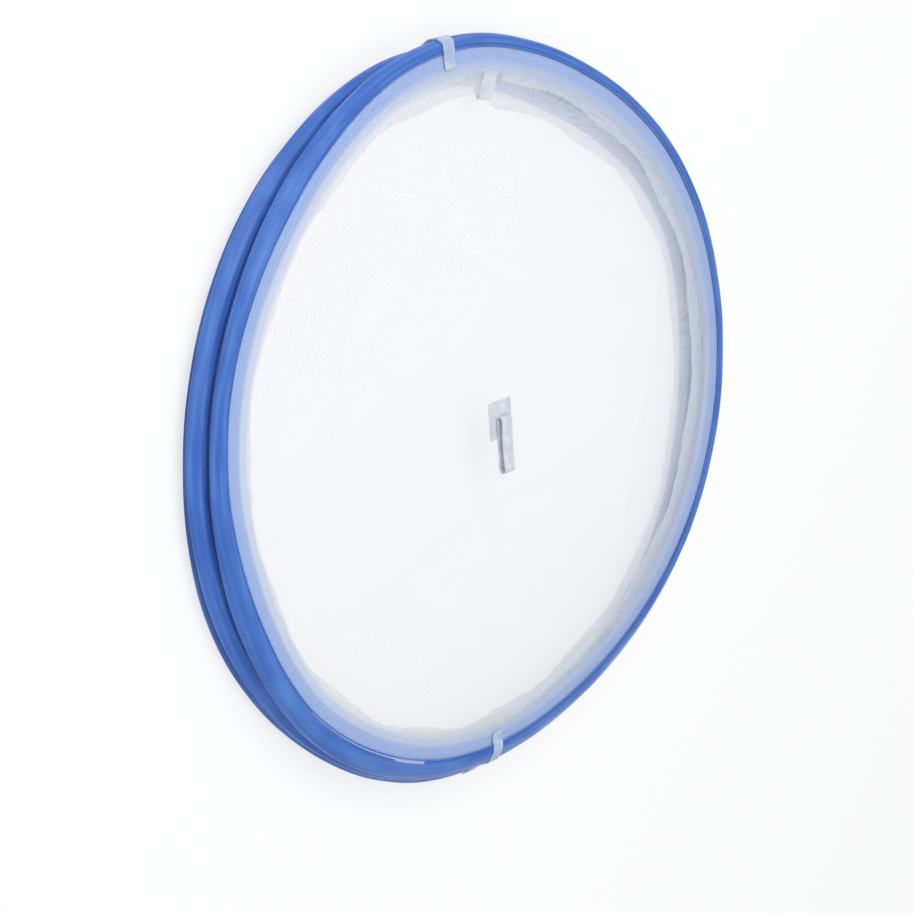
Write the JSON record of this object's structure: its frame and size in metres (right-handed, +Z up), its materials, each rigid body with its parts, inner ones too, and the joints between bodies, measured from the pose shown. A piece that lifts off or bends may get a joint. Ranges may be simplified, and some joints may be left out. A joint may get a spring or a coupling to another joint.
{
  "type": "pop-up mesh food cover",
  "caption": "Round pop-up food cover of white net on blue tape-bound spring-wire hoops, folded flat with its closing straps on.",
  "frame": {"origin": "centre of the base hoop, on the surface that the folded cover lies on", "axes": "+Z up along the axis of the hoops, the way the cover pops up; the closing straps lie near the two ends of X"},
  "size_m": [0.5016, 0.5, 0.0359],
  "materials": {
    "tape_blue": "satin woven polyester tape, folded round the wire",
    "net_white": "fine white knitted polyester net, part see-through",
    "ribbon_white": "white woven ribbon",
    "thread_white": "white sewing thread",
    "spring_steel": "flat spring steel, bright"
  },
  "bodies": {
    "base": {"base_binding": "tape_blue", "base_wire": "spring_steel", "base_sleeve": "spring_steel", "base_tack_left": "thread_white", "base_tack_right": "thread_white", "turn_binding": "tape_blue", "turn_wire": "spring_steel", "lower_wall_net": "net_white", "upper_wall_net": "net_white", "wall_seam_tape": "ribbon_white", "strap_left": "ribbon_white", "strap_right": "ribbon_white"},
    "crown": {"crown_binding": "tape_blue", "crown_wire": "spring_steel", "crown_sleeve": "spring_steel", "top_net": "net_white", "loop_patch": "ribbon_white", "crown_tack_left": "thread_white", "crown_tack_right": "thread_white"},
    "loop": {"lift_loop": "ribbon_white"}
  },
  "joints": [
    {"name": "pop_up", "type": "slide", "parent": "base", "child": "crown", "axis": [0, 0, 1], "range_m": [0, 0.1703], "deforming": ["turn_binding", "turn_wire", "lower_wall_net", "upper_wall_net", "wall_seam_tape", "strap_left", "strap_right"]},
    {"name": "loop_lift", "type": "hinge", "parent": "crown", "child": "loop", "pos_m": [0, 0, 0.0329], "axis": [0, -1, 0], "range_deg": [0, 180]}
  ]
}
